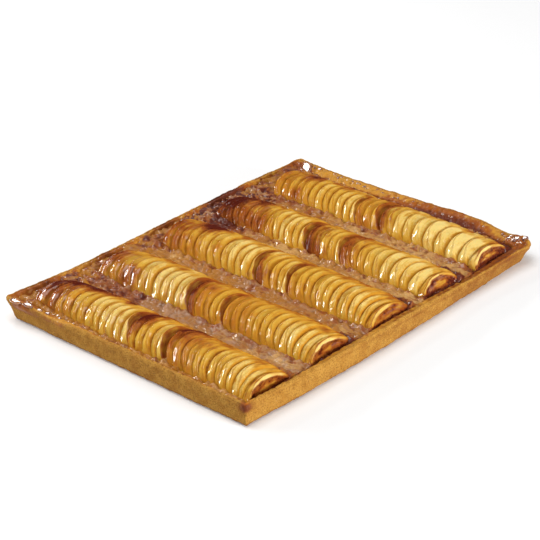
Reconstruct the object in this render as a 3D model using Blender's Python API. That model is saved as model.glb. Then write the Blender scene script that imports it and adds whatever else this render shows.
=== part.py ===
"""Catering-size French apple tart.

A shortcrust tray holds a bed of apple compote. Five rows of half-moon apple slices lie on it,
and each row is three fans of slices that lean on one another like shingles. X runs across the
rows, Y along them, and Z is up. Sizes are in millimetres and become metres in new_object.
"""

import math
import random

import bmesh
import bpy
from mathutils import Vector, noise

MM = 0.001
TOUCH_GAP = 0.3

# Shortcrust tray: overall plan, floor and corners, with the sides named from the front corner
LENGTH = 380.0
WIDTH = 280.0
FLOOR_TOP = 5.7
SIDES = ("front_right", "back_right", "back_left", "front_left")
SIDE_STATIONS = {"front_right": 34, "back_right": 25, "back_left": 34, "front_left": 25}
CORNER_RADII = (2.5, 14.0, 7.0, 6.0)
CORNER_FLARES = ((0.0, 0.0), (1.0, -7.5), (0.0, 1.0), (-5.0, 5.0))
CORNER_STEPS = 4

# Heights of the rim at equal steps along each side, up to where the next side starts
RIM_HEIGHTS = {
    "front_right": (21.2, 20.6, 20.2, 19.0, 16.4),
    "back_right": (18.5, 23.8, 22.2, 20.4, 19.8),
    "back_left": (20.0, 21.8, 21.2, 21.0, 20.4),
    "front_left": (22.4, 19.8, 20.4, 20.8, 21.0),
}
# How far each side swells outward of the straight plan, at equal steps
SIDE_SWELL = {
    "front_right": (0.0, 3.6, 4.8, 4.2, 2.2, 0.0),
    "back_right": (0.0, 0.8, 0.5, 0.0, 0.0),
    "back_left": (0.0, 1.4, 1.8, 1.2, 0.4, 0.0),
    "front_left": (0.0, 0.4, 0.0, 0.3, 0.0),
}
WALL_FOOT = {"front_right": 5.0, "back_right": 14.0, "back_left": 6.0, "front_left": 7.0}
INNER_CORNER_RADIUS = 2.0
SMALLEST_RADIUS = 0.6
UNDERSIDE_HUB = (9.0, 6.0, 0.0)

# Section of the wall, from its undercut foot up to the ridge and down to the filling
UNDERCUT = 3.4
LOWER_BULGE_INSET = 1.0
LOWER_BULGE_HEIGHT = 2.4
WAIST_INSET = 0.2
WAIST_SHARE = 0.5
SHOULDER_DROP = 3.4
BROW_INSET = 1.0
BROW_DROP = 1.0
RIDGE_INSET = 2.7
RIDGE_BACK_INSET = 4.2
RIDGE_BACK_DROP = 1.3
LEDGE_ABOVE_COMPOTE = 0.9
LEDGE_BELOW_RIDGE = 2.2

# Unevenness of the crust, and how a corner's flare fades along the side and down the wall
RIM_RAG = 0.7
WALL_RAG = 0.35
UNDERCUT_RAG = 1.1
UNDERCUT_RAG_SCALE = 1.7
RAG_LENGTH = 17.0
RAG_LAYER_STEP = 7.3
FLARE_FADE = 6.0
FLARE_RISE = 1.5

# Compote bed: its level, the swelling of the strips between the rows and the sunk right edge
COMPOTE_LEVEL = 16.0
STRIP_RISE = 1.8
STRIP_STEPS = 3
STRIP_EVENNESS = (0.75, 0.5)
STRIP_CLEARANCE = 1.3
LAST_LINE_RISE = 0.4
COMPOTE_CELL = 12.2
COMPOTE_CORNER_EASE = 0.6
COMPOTE_EDGE_HEIGHTS = (15.8, 15.8, 15.6, 14.6, 13.4)

# Rows of apple slices: where each lies across the tray, and half the width of its slices
ROW_CENTRES = (-154.5, -80.0, -2.5, 69.0, 141.0)
ROW_HALF_WIDTHS = (26.5, 28.0, 28.5, 26.0, 26.0)
SLICE_BASE = COMPOTE_LEVEL + TOUCH_GAP
ARC_STEPS = 10
SLICE_THICKNESS = 5.3
THICKNESS_SHARE = 0.86
BACK_EDGE_EASE = 0.9
NOTCH_DEPTH = 1.2
NOTCH_WIDTH = 2.3
LEAN = 45.0
END_LEAN = 61.0
SLICE_JITTER = 0.5
HALF_WIDTH_JITTER = (-0.5, 0.3)

# Fans: row, place, crest of the first and last slice along Y, slices, crest heights, last lean
FANS = (
    (1, "left", 116.0, 20.0, 12, (30.5, 32.5, 33.0, 32.5), LEAN),
    (1, "middle", 8.0, -23.0, 5, (33.5, 33.5, 32.5), LEAN),
    (1, "right", -33.0, -127.5, 13, (34.0, 33.0, 32.5, 28.5), END_LEAN),
    (2, "left", 116.0, 22.0, 12, (30.5, 33.0, 33.5, 33.0), LEAN),
    (2, "middle", 13.0, -20.0, 5, (34.0, 33.5, 33.0), LEAN),
    (2, "right", -29.0, -127.5, 13, (33.5, 34.0, 33.0, 28.5), END_LEAN),
    (3, "left", 116.0, 14.0, 13, (30.5, 33.5, 34.0, 33.0), LEAN),
    (3, "middle", 4.0, -25.0, 5, (33.0, 33.5, 32.5), LEAN),
    (3, "right", -35.0, -127.5, 13, (34.0, 33.5, 32.5, 28.5), END_LEAN),
    (4, "left", 116.0, 20.0, 13, (29.0, 31.0, 32.5, 32.5), LEAN),
    (4, "middle", 11.0, -23.0, 5, (33.0, 33.0, 32.5), LEAN),
    (4, "right", -30.0, -127.5, 11, (33.0, 32.5, 32.0, 28.0), END_LEAN),
    (5, "left", 112.0, 20.0, 12, (30.0, 32.0, 32.5, 31.5), LEAN),
    (5, "middle", 11.0, -7.0, 3, (32.5, 32.5), LEAN),
    (5, "right", -16.5, -127.0, 10, (33.5, 33.0, 33.0, 28.0), END_LEAN),
)
# Fans whose steps grow towards the last slice, as the power that the shares are raised to
FAN_GROWTH = {(4, "right"): 1.35, (5, "right"): 1.25}
# Fans whose first slice is turned, its near end towards +Y, in degrees, and how fast that fades
FIRST_TURNS = {(1, "left"): 20.0, (1, "middle"): 10.0, (2, "left"): 14.0, (3, "left"): 6.0,
               (4, "left"): 14.0}
TURN_FADE = 3.0

# Angle between faces from which an edge is shaded sharp, in degrees
SHARP_ANGLE = 38.0

# Colours of the materials, linear red, green and blue, and their roughness
CRUST_COLOUR = (0.48, 0.27, 0.085)
COMPOTE_COLOUR = (0.36, 0.16, 0.07)
APPLE_COLOUR = (0.72, 0.43, 0.09)
CRUST_ROUGHNESS = 0.85
COMPOTE_ROUGHNESS = 0.3
APPLE_ROUGHNESS = 0.25


def mix(first, second, share):
    """The value that lies the given share of the way from first to second."""
    return first + (second - first) * share


def along(values, share):
    """Smooth course through equally spaced values, read at a share from 0 to 1."""
    place = share * (len(values) - 1)
    index = min(int(place), len(values) - 2)
    step = place - index
    return mix(values[index], values[index + 1], step * step * (3.0 - 2.0 * step))


def rag(x, y, layer):
    """Smooth unevenness from -1 to 1 at a place on the plan."""
    return noise.noise(Vector((x / RAG_LENGTH, y / RAG_LENGTH, layer * RAG_LAYER_STEP)))


def new_material(name, colour, roughness):
    """A plain matt or glossy food surface."""
    material = bpy.data.materials.new(name)
    material.use_nodes = True
    shader = material.node_tree.nodes["Principled BSDF"]
    shader.inputs["Base Color"].default_value = (*colour, 1.0)
    shader.inputs["Roughness"].default_value = roughness
    shader.inputs["Metallic"].default_value = 0.0
    return material


def new_object(name, shape, material, parent):
    """Turns a bmesh in millimetres into a smooth-shaded object in metres."""
    bmesh.ops.recalc_face_normals(shape, faces=shape.faces)
    bmesh.ops.scale(shape, vec=(MM, MM, MM), verts=shape.verts)
    mesh = bpy.data.meshes.new(name)
    shape.to_mesh(mesh)
    shape.free()
    mesh.materials.append(material)
    mesh.shade_smooth()
    mesh.set_sharp_from_angle(angle=math.radians(SHARP_ANGLE))
    thing = bpy.data.objects.new(name, mesh)
    bpy.context.collection.objects.link(thing)
    thing.parent = parent
    return thing


def join_rings(shape, first, second):
    """Walls two closed rings of the same number of vertices together."""
    count = len(first)
    for index in range(count):
        after = (index + 1) % count
        shape.faces.new((first[index], second[index], second[after], first[after]))


def close_flat(shape, ring, centre):
    """Closes a ring with triangles that meet at one vertex."""
    hub = shape.verts.new(centre)
    for index in range(len(ring)):
        shape.faces.new((ring[index], ring[(index + 1) % len(ring)], hub))


def tray_stations():
    """Places round the tray, anticlockwise: each is a corner's arc or a share of a side."""
    stations = []
    for side, name in enumerate(SIDES):
        for step in range(CORNER_STEPS + 1):
            stations.append(("corner", side, step / CORNER_STEPS))
        count = SIDE_STATIONS[name]
        for step in range(1, count):
            stations.append(("side", side, step / count))
    return stations


def corner_point(corner, insets, radius, turn):
    """A point on one corner's arc of a rounded rectangle, and the direction that it faces."""
    angle = math.radians(180.0 + 90.0 * corner + 90.0 * turn)
    facing = Vector((math.cos(angle), math.sin(angle)))
    low_x = -LENGTH / 2 + insets["front_left"] + radius
    high_x = LENGTH / 2 - insets["back_right"] - radius
    low_y = -WIDTH / 2 + insets["front_right"] + radius
    high_y = WIDTH / 2 - insets["back_left"] - radius
    centre = Vector((high_x if corner in (1, 2) else low_x, high_y if corner in (2, 3) else low_y))
    return centre + facing * radius, facing


def plan_point(station, insets, radii):
    """A station's point on a rounded rectangle, and the direction that it faces."""
    kind, side, share = station
    if kind == "corner":
        return corner_point(side, insets, radii[side], share)
    start, facing = corner_point(side, insets, radii[side], 1.0)
    after = (side + 1) % 4
    end, _ = corner_point(after, insets, radii[after], 0.0)
    return start.lerp(end, share), facing


def rim_height(station):
    """Height of the rim's ridge at a station."""
    kind, side, share = station
    heights = RIM_HEIGHTS[SIDES[side]] + RIM_HEIGHTS[SIDES[(side + 1) % 4]][:1]
    return along(heights, share if kind == "side" else 0.0)


def rim_flare(station):
    """How far a station's rim is pushed out by the nearest corner's flare."""
    kind, side, share = station
    here = Vector(CORNER_FLARES[side])
    if kind == "corner":
        return here
    there = Vector(CORNER_FLARES[(side + 1) % 4])
    return here * (1.0 - share) ** FLARE_FADE + there * share ** FLARE_FADE


def tray_rings():
    """Corners of the tray's section at each station, from its underside up and over the rim."""
    inner_radii = (INNER_CORNER_RADIUS,) * 4
    sections = []
    for station in tray_stations():
        kind, side, share = station
        middle, facing = plan_point(station, dict.fromkeys(SIDES, 0.0), CORNER_RADII)
        height = rim_height(station) + RIM_RAG * rag(middle.x, middle.y, 1)
        swell = along(SIDE_SWELL[SIDES[side]], share) if kind == "side" else 0.0
        swell += WALL_RAG * rag(middle.x, middle.y, 2)
        flare = rim_flare(station)
        finer = middle * UNDERCUT_RAG_SCALE
        outline = (
            (UNDERCUT + UNDERCUT_RAG * rag(finer.x, finer.y, 3), 0.0),
            (LOWER_BULGE_INSET, LOWER_BULGE_HEIGHT),
            (WAIST_INSET, height * WAIST_SHARE),
            (0.0, height - SHOULDER_DROP),
            (BROW_INSET, height - BROW_DROP),
            (RIDGE_INSET, height),
            (RIDGE_BACK_INSET, height - RIDGE_BACK_DROP),
        )
        section = []
        for inset, level in outline:
            radii = [max(radius - inset, SMALLEST_RADIUS) for radius in CORNER_RADII]
            point, _ = plan_point(station, dict.fromkeys(SIDES, inset), radii)
            point = point + facing * swell + flare * (level / height) ** FLARE_RISE
            section.append(Vector((point.x, point.y, level)))
        foot, _ = plan_point(station, WALL_FOOT, inner_radii)
        ledge = min(COMPOTE_LEVEL + LEDGE_ABOVE_COMPOTE, height - LEDGE_BELOW_RIDGE)
        section.append(Vector((foot.x, foot.y, ledge)))
        section.append(Vector((foot.x, foot.y, FLOOR_TOP)))
        sections.append(section)
    return sections


def make_tray(material, parent):
    """Tray of shortcrust: floor, ragged walls and an uneven rim, open above."""
    shape = bmesh.new()
    sections = tray_rings()
    rings = []
    for level in range(len(sections[0])):
        rings.append([shape.verts.new(section[level]) for section in sections])
    for first, second in zip(rings, rings[1:]):
        join_rings(shape, first, second)
    close_flat(shape, rings[0], UNDERSIDE_HUB)
    close_flat(shape, rings[-1], (0.0, 0.0, FLOOR_TOP))
    return new_object("pastry_case", shape, material, parent)


def compote_lines():
    """X of each grid line of the compote, and its rise there as a share of a strip's rise."""
    lines = [(-LENGTH / 2 + WALL_FOOT["front_left"] + TOUCH_GAP, 0.0)]
    for row in range(len(ROW_CENTRES) - 1):
        start = ROW_CENTRES[row] + ROW_HALF_WIDTHS[row] + STRIP_CLEARANCE
        end = ROW_CENTRES[row + 1] - ROW_HALF_WIDTHS[row + 1] - STRIP_CLEARANCE
        for step in range(STRIP_STEPS + 1):
            share = step / STRIP_STEPS
            lines.append((mix(start, end, share), math.sin(math.pi * share)))
    lines.append((ROW_CENTRES[-1] + ROW_HALF_WIDTHS[-1] + STRIP_CLEARANCE, 0.0))
    lines.append((LENGTH / 2 - WALL_FOOT["back_right"] - TOUCH_GAP, LAST_LINE_RISE))
    return lines


def make_compote(material, parent):
    """Bed of compote that fills the tray, flat under the rows and swollen between them."""
    shape = bmesh.new()
    low_y = -WIDTH / 2 + WALL_FOOT["front_right"] + TOUCH_GAP
    high_y = WIDTH / 2 - WALL_FOOT["back_left"] - TOUCH_GAP
    rows = round((high_y - low_y) / COMPOTE_CELL)
    lines = compote_lines()
    least, spread = STRIP_EVENNESS
    top = []
    for column, (x, rise) in enumerate(lines):
        line = []
        for row in range(rows + 1):
            y = mix(low_y, high_y, row / rows)
            height = COMPOTE_LEVEL + rise * STRIP_RISE * (least + spread * rag(x, y, 4))
            if row == 0:
                height = along(COMPOTE_EDGE_HEIGHTS, column / (len(lines) - 1))
            line.append(shape.verts.new((x, y, height)))
        top.append(line)
    for corner, way_x, way_y in ((top[0][0], 1, 1), (top[0][-1], 1, -1),
                                 (top[-1][0], -1, 1), (top[-1][-1], -1, -1)):
        corner.co.x += way_x * COMPOTE_CORNER_EASE
        corner.co.y += way_y * COMPOTE_CORNER_EASE
    for near, far in zip(top, top[1:]):
        for row in range(rows):
            shape.faces.new((near[row], far[row], far[row + 1], near[row + 1]))
    edge = [line[0] for line in top] + top[-1][1:]
    edge += [line[-1] for line in reversed(top[:-1])] + top[0][-2:0:-1]
    base = [shape.verts.new((vert.co.x, vert.co.y, FLOOR_TOP + TOUCH_GAP)) for vert in edge]
    join_rings(shape, edge, base)
    close_flat(shape, base, (0.0, 0.0, FLOOR_TOP + TOUCH_GAP))
    return new_object("apple_compote", shape, material, parent)


def slice_ring(shape, centre, foot, half_width, rise, lean, turn):
    """Half-moon outline of a slice, in a plane that leans back from its foot and may be turned."""
    ring = []
    for step in range(ARC_STEPS + 1):
        angle = math.pi * step / ARC_STEPS
        up = rise * math.sin(angle)
        across = half_width * math.cos(angle)
        y = foot + up / math.tan(lean) + across * turn
        ring.append(shape.verts.new((centre - across, y, SLICE_BASE + up)))
    return ring


def make_fan(fan, draw, material, parent):
    """Fan of leaning slices grown together: each has a back edge, a crest and a notch."""
    row, place, first, last, count, crests, last_lean = fan
    growth = FAN_GROWTH.get((row, place), 1.0)
    first_turn = math.radians(FIRST_TURNS.get((row, place), 0.0))
    shares = [index / (count - 1) for index in range(count)]
    places = [mix(first, last, share ** growth) for share in shares]
    turns = [math.tan(first_turn * math.exp(-index / TURN_FADE)) for index in range(count)]
    slices = []
    for index, share in enumerate(shares):
        later = max(index, 1)
        step = places[later - 1] - places[later]
        step -= ROW_HALF_WIDTHS[row - 1] * (turns[later - 1] - turns[later])
        lean = math.radians(mix(LEAN, last_lean, share ** 3))
        rise = along(crests, share) - SLICE_BASE + SLICE_JITTER * draw.uniform(-1.0, 1.0)
        slices.append({
            "centre": ROW_CENTRES[row - 1] + SLICE_JITTER * draw.uniform(-1.0, 1.0),
            "half": ROW_HALF_WIDTHS[row - 1] + draw.uniform(*HALF_WIDTH_JITTER),
            "lean": lean,
            "rise": rise,
            "turn": turns[index],
            "foot": places[index] - rise / math.tan(lean),
            "depth": min(SLICE_THICKNESS / math.sin(lean), THICKNESS_SHARE * step),
        })
    shape = bmesh.new()
    rings = []
    for index, piece in enumerate(slices):
        lean = piece["lean"]
        back_foot = piece["foot"] + piece["depth"]
        back_rise = piece["rise"] - piece["depth"] * math.sin(lean) * math.cos(lean)
        back_half = piece["half"] - BACK_EDGE_EASE
        if index > 0:
            before = slices[index - 1]
            notch_foot = mix(before["foot"], back_foot, 0.5)
            notch_half = min(before["half"], piece["half"]) - NOTCH_WIDTH
            notch_lean = mix(before["lean"], lean, 0.5)
            notch_turn = mix(before["turn"], piece["turn"], 0.5)
            rings.append(slice_ring(shape, piece["centre"], notch_foot, notch_half,
                                    back_rise - NOTCH_DEPTH, notch_lean, notch_turn))
        rings.append(slice_ring(shape, piece["centre"], back_foot, back_half, back_rise, lean,
                                piece["turn"]))
        rings.append(slice_ring(shape, piece["centre"], piece["foot"], piece["half"],
                                piece["rise"], lean, piece["turn"]))
    for ring, after in zip(rings, rings[1:]):
        join_rings(shape, ring, after)
    shape.faces.new(rings[0])
    shape.faces.new(rings[-1])
    return new_object("apple_fan_%d_%s" % (row, place), shape, material, parent)


def centre_on_origin(root, tray):
    """Moves the whole tart so that the middle of its footprint is the origin."""
    xs = [vert.co.x for vert in tray.data.vertices]
    ys = [vert.co.y for vert in tray.data.vertices]
    root.location = (-(min(xs) + max(xs)) / 2, -(min(ys) + max(ys)) / 2, 0.0)


def main():
    for thing in list(bpy.data.objects):
        bpy.data.objects.remove(thing, do_unlink=True)
    root = bpy.data.objects.new("tart", None)
    bpy.context.collection.objects.link(root)
    crust = new_material("crust", CRUST_COLOUR, CRUST_ROUGHNESS)
    compote = new_material("compote", COMPOTE_COLOUR, COMPOTE_ROUGHNESS)
    apple = new_material("apple", APPLE_COLOUR, APPLE_ROUGHNESS)
    tray = make_tray(crust, root)
    make_compote(compote, root)
    draw = random.Random(11)
    for fan in FANS:
        make_fan(fan, draw, apple, root)
    centre_on_origin(root, tray)
    bpy.context.view_layer.update()


main()
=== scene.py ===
"""Looks of a catering-size French apple tart.

A sandy shortcrust tray, a bed of moist apple compote, and fifteen fans of glazed half-moon apple
slices, seen from above one corner on a pale floor. Sizes are in millimetres in the part's own
frame, and new_piece turns them into metres in the row's frame.
"""

import math
import random
from collections import namedtuple
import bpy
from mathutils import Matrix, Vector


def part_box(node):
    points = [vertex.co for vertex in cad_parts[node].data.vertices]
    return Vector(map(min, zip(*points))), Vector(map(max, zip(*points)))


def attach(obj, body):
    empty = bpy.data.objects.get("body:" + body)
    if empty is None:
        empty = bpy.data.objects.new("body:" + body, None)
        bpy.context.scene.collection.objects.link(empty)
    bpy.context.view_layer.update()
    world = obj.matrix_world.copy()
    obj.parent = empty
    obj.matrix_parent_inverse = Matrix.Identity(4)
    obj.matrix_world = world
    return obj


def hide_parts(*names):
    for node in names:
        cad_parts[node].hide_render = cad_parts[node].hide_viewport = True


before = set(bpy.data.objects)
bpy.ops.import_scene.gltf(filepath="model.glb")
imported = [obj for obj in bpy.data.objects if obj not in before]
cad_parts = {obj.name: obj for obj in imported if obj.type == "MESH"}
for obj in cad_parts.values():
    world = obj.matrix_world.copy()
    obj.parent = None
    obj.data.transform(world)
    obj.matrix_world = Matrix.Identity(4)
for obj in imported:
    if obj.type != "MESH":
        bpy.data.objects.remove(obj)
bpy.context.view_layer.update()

from types import SimpleNamespace

import bpy
import numpy as np
from mathutils import Matrix, Vector, noise

MM = 0.001

# Shortcrust tray: overall plan, floor and corners, with the sides named from the front corner
LENGTH = 380.0
WIDTH = 280.0
FLOOR_TOP = 5.7
SIDES = ("front_right", "back_right", "back_left", "front_left")
CORNER_RADII = (2.5, 14.0, 7.0, 6.0)
CORNER_FLARES = ((0.0, 0.0), (1.0, -7.5), (0.0, 1.0), (-5.0, 5.0))
RIM_HEIGHTS = {
    "front_right": (21.2, 20.6, 20.2, 19, 16.4),
    "back_right": (18.5, 23.8, 22.2, 20.4, 19.8),
    "back_left": (20, 21.8, 21.2, 21, 20.4),
    "front_left": (22.4, 19.8, 20.4, 20.8, 21),
}
SIDE_SWELL = {
    "front_right": (0, 3.6, 4.8, 4.2, 2.2, 0),
    "back_right": (0, 0.8, 0.5, 0, 0),
    "back_left": (0, 1.4, 1.8, 1.2, 0.4, 0),
    "front_left": (0, 0.4, 0, 0.3, 0),
}
WALL_FOOT = {"front_right": 5.0, "back_right": 14.0, "back_left": 6.0, "front_left": 7.0}
INNER_CORNER_RADIUS = 2.0
SMALLEST_RADIUS = 0.6

# Section of the wall from its undercut foot to just over the ridge: inset, share of height, and rise
WALL_SECTION = (
    (3.4, 0, 0),
    (1, 0, 2.4),
    (0.2, 0.5, 0),
    (0, 1, -3.4),
    (1, 1, -1),
    (2.7, 1, 0),
    (4.2, 1, -1.3),
)
LEDGE_ABOVE_COMPOTE = 0.9
LEDGE_BELOW_RIDGE = 2.2
STATION_PITCH = 1.1
CORNER_STEPS = 12
SECTION_STEPS = (6, 7, 7, 5, 5, 4, 9, 2)
SPANS_TO_RIDGE = 5
CURVE_SLOPE = 0.42

# Unevenness of the crust, and how a corner's flare fades along the side and down the wall
RIM_RAG = 0.7
WALL_RAG = 0.35
UNDERCUT_RAG = 1.1
UNDERCUT_RAG_SCALE = 1.7
RAG_LENGTH = 17.0
RAG_LAYER_STEP = 7.3
FLARE_FADE = 6.0
FLARE_RISE = 1.5

# Places on the crust, as x, y and reach, how far up they start, and how burnt and how wet they are; the
# last two are painted shade and light instead of browning
CRUST_SPOTS = (
    (-190, -140, 8, 14, 1.1, 0.7),
    (-186, 122, 16, 13, 0.5, 0.9),
    (-190, 82, 17, 15, 0.1, 0.6),
    (176, 127, 14, 12, 1.1, 0.6),
    (184, -131, 13, 10, 0.3, 0.7),
    (178, -40, 40, 14, 0.5, 0.3),
    (78, 138, 20, 12, 2.6, 0.2),
    (-2, 134, 14, 12, 0.6, 0.3),
    (-80, 134, 12, 12, 0.4, 0.3),
    (-154, 134, 14, 12, 0.5, 0.3),
    (150, -134, 16, 14, 0.5, 0.5),
    (192, -142, 9, 12, -0.6, 0),
    (189, 132, 8, 14, -0.9, 0),
    # Painted shade and light along the front right wall: darker towards the R corner, lighter towards
    # the F corner
    (190, -140, 170, 3, 0.35, 0),
    (-120, -140, 110, 3, -0.2, 0),
)

# Bumps at the corners, as x, y, reach and rise, and crags inside the back walls, as bulge and roughness
CORNER_BUMPS = (
    (187, -131, 12, 3.2),
    (-192, 120, 13, 1.3),
    (184, 132, 10, 1.2),
)
CRAGS = (("back_left", 1.8, 1.3), ("back_right", 0.6, 1.6))
CRAG_FADE = 0.04

# Lip on the front right, crumb and pits of the outer wall, and runs of glaze inside
LIP_DROP = 3.6
LIP_WIDTH = 1.1
LIP_CREASE = 0.4
LIP_FADES = (0.1, 0.5)
CRUMB_HEIGHT = 0.12
PIT_START = 0.2
PIT_DEPTH = 0.8
RUN_STRETCH = (1.0, 1.0, 0.45)
FLAT_BELOW = 0.4

# How toasted the crust's parts are and how wet; the outer wall's foot gets painted shade, and the lip's
# crease is darker
WALL_TOAST = 0.2
LIP_DARKENING = 0.25
WALL_FOOT_SHADE = 0.5
BROW_PALENESS = 0.5
BACK_LEFT_TOAST = 0.15
BACK_RIGHT_TOAST = 1.1
BACK_RIGHT_PALENESS = 0.35
BACK_FADE = 0.05
INNER_WETNESS = 0.9
BACK_RIGHT_DRYNESS = 0.35
BROW_WETNESS = 0.3

# Drops of glaze on the crust: x, y and z, the way each faces, and its half width and half length
DROP_FACINGS = {"back": (-0.339, 0.110, 0.934), "right": (-0.399, 0.233, 0.887),
                "left": (-0.109, -0.004, 0.994), "wall": (-0.8, 0.1, 0.6)}
GLAZE_DROPS = (
    (179, 121, 15, "back", 5.4, 12),
    (183.5, 108, 18, "back", 2.6, 2.6),
    (183.5, -130.5, 19, "right", 3.4, 5.5),
    (188, -136, 19.5, "right", 2.8, 4.5),
    (-192, 129, 21.5, "left", 3.6, 7.5),
    (-190.5, 116, 21.5, "left", 3.2, 6.5),
    (-188.5, 104, 21, "left", 2.2, 3.5),
    (-185.5, 96, 18.5, "left", 1.8, 2.4),
    (-184, 83, 18, "left", 1.5, 2),
    (-183, 67.5, 18, "left", 1.3, 1.6),
)
DROP_COURSES = {"back": (0.7, 0.7, 0.0)}
USUAL_COURSE = (0.0, 1.0, 0.0)

# Beads of glaze strewn about a place: how many, the place, its reach, their facing and their radii
BEADS = (
    (40, (182.5, 0, 18), (2.5, 120, 0), "wall", (0.7, 1.5)),
    (18, (182.5, -130, 19), (3.5, 6.5, 1.5), "right", (1.2, 2.6)),
)
BEAD_SEED = 5
DROP_HEIGHT = 0.36
DROP_RAG = 0.25
DROP_SIDES = 20
DROP_RINGS = 12

# Compote bed: its level, the strips between the rows, and the low edge along the front right
COMPOTE_LEVEL = 16.0
COMPOTE_PITCH = 1.25
TOUCH_GAP = 0.3
WALL_OVERLAP = 0.4
STRIP_RISE = 1.8
STRIP_EVENNESS = 0.75
STRIP_CLEARANCE = 1.3
COMPOTE_EDGE_HEIGHTS = (15.8, 15.8, 15.6, 14.6, 13.4)
COMPOTE_EDGE_WIDTH = 12.2
WRINKLE_LEVEL = 0.25
WRINKLE_HEIGHT = 2.2
KNOB_HEIGHT = 1.1

# Risen end of the bed along the back left, and its curled skin where it is burnt
END_START = 100.0
END_FULL = 122.0
END_RISE = 3.4
END_REACH = 1.8
END_HIGHEST = 20.3
END_GROOVE = 6.0
GROOVE_SHARE = 0.7
STRIP_END_SHARE = 0.35
END_CURLS = 0.27
BURNT_CURLS = 1.35
CURL_LEVEL = 0.3

# How the compote climbs the walls and the slices' feet, and fills the gaps between two fans
WALL_CLIMB = 0.9
WALL_CLIMB_LENGTH = 1.6
NEAR_MENISCUS = 2.2
MENISCUS_WIDTH = 3.0
FAR_MENISCUS = 4.6
FAR_MENISCUS_WIDTH = 4.6
FAR_FOOT_INSET = 1.0
FILL_SLOPE = 0.8
FILL_HEIGHT = 7.0
FILL_REACH = 9.0

# Places on the compote, as x, y and reach, and how burnt they are
COMPOTE_SPOTS = (
    (62, 112, 22, 1.7),
    (38, 92, 14, 1),
    (100, 104, 16, 0.8),
    (-38, 118, 12, 0.6),
    (-150, 124, 16, 0.5),
    (-118, 88, 14, 0.5),
    (-118, 60, 16, 0.9),
    (-126, 82, 10, 0.8),
    (30, 104, 14, 0.9),
    (-122, 116, 14, 0.9),
    (120, -129, 11, 0.9),
    (170, -127, 13, 1.3),
    (35, 22, 16, -0.6),
    (-41, 92, 12, -0.3),
    (166, 124, 12, 0.9),
    (-116, 124, 10, -0.5),
    (-40, 96, 10, -0.4),
    (-116, 30, 26, -0.35),
)

# Lighter places on the compote, as x, y, reach and how much lighter
COMPOTE_LIGHTS = (
    (35, 22, 18, 1.3),
    (33, 62, 10, 0.6),
    (-41, 78, 20, 0.5),
    (-118, -112, 22, 0.5),
    (105, 0, 30, 0.4),
    (-40, -118, 14, 0.5),
    (35, -122, 12, 0.6),
    (-41, 116, 12, 0.8),
)

# Rows of apple slices, as in the solids: the x of each one's middle line, and its half width
ROWS = ((-154.5, 26.5), (-80.0, 28.0), (-2.5, 28.5), (69.0, 26.0), (141.0, 26.0))
SLICE_BASE = COMPOTE_LEVEL + TOUCH_GAP
SLICE_THICKNESS = 5.3
LEAN = 45.0
END_LEAN = 61.0
SLICE_JITTER = 0.5
HALF_WIDTH_JITTER = (-0.5, 0.3)

# Fans, as in the solids, with the browning of their first slices and how golden first and last are
Fan = namedtuple("Fan", "row place first last count crests browning tones")
FANS = (
    Fan(1, "left", 116, 20, 12, (30.5, 32.5, 33, 32.5), (1, 2.2, 0.1, 9, 0.9, 5), (0, -0.1)),
    Fan(1, "middle", 8, -23, 5, (33.5, 33.5, 32.5), (1, 0.8, 0.2, 5, 0.4, 2), (0.2, 0)),
    Fan(1, "right", -33, -127.5, 13, (34, 33, 32.5, 28.5), (1, 1.7, 0.5, 9, 0.7, 5), (0.4, -0.2)),
    Fan(2, "left", 116, 22, 12, (30.5, 33, 33.5, 33), (0.45, 1.5, -0.2, 6, 0.9, 4), (-0.1, -0.15)),
    Fan(2, "middle", 13, -20, 5, (34, 33.5, 33), (1, 0.7, -0.3, 2.5, 0.6, 3), (0.5, 0.4)),
    Fan(2, "right", -29, -127.5, 13, (33.5, 34, 33, 28.5), (0.3, 1.2, 0, 4, 0.6, 4), (0.4, -0.05)),
    Fan(3, "left", 116, 14, 13, (30.5, 33.5, 34, 33), (0.6, 3, -0.2, 8, 1, 5.5), (0.2, -0.15)),
    Fan(3, "middle", 4, -25, 5, (33, 33.5, 32.5), (0.7, 1, -0.8, 4, 0.4, 3), (0.2, 0)),
    Fan(3, "right", -35, -127.5, 13, (34, 33.5, 32.5, 28.5), (0.3, 1, 0, 3, 0.6, 4), (0.05, 0)),
    Fan(4, "left", 116, 20, 13, (29, 31, 32.5, 32.5), (1.2, 3.8, -0.1, 12, 0.9, 7), (0, -0.1)),
    Fan(4, "middle", 11, -23, 5, (33, 33, 32.5), (0.9, 1.6, -0.6, 5, 0.6, 3), (0, 0.1)),
    Fan(4, "right", -30, -127.5, 11, (33, 32.5, 32, 28), (0.8, 2.2, 0, 6, 0.9, 4), (0.1, -0.35)),
    Fan(5, "left", 112, 20, 12, (30, 32, 32.5, 31.5), (0.3, 1.5, 0, 5, 0.6, 3.5), (0.4, -0.05)),
    Fan(5, "middle", 11, -7, 3, (32.5, 32.5), (0.4, 1.5, -0.5, 4, 0.9, 3), (0.2, 0.05)),
    Fan(5, "right", -16.5, -127, 10, (33.5, 33, 33, 28), (1, 0.8, 0, 2.5, 0.4, 3), (-0.1, -0.55)),
)
FAN_GROWTH = {(4, "right"): 1.35, (5, "right"): 1.25}
FIRST_TURNS = {(1, "left"): 20.0, (1, "middle"): 10.0, (2, "left"): 14.0, (3, "left"): 6.0,
               (4, "left"): 14.0}
TURN_FADE = 3.0

# How wet some fans look, at the first slice and at the last, and the others
FAN_WETNESS = {(1, "left"): (0.9, 0.5), (1, "right"): (0.9, 0.0), (2, "left"): (0.9, 0.8),
               (4, "middle"): (0.6, 0.3), (5, "right"): (0, 0.25)}
PLAIN_WETNESS = (0.2, 0.1)
DRY_FAR_SIDE = 3.0
DRY_FIRST = 1.5

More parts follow.
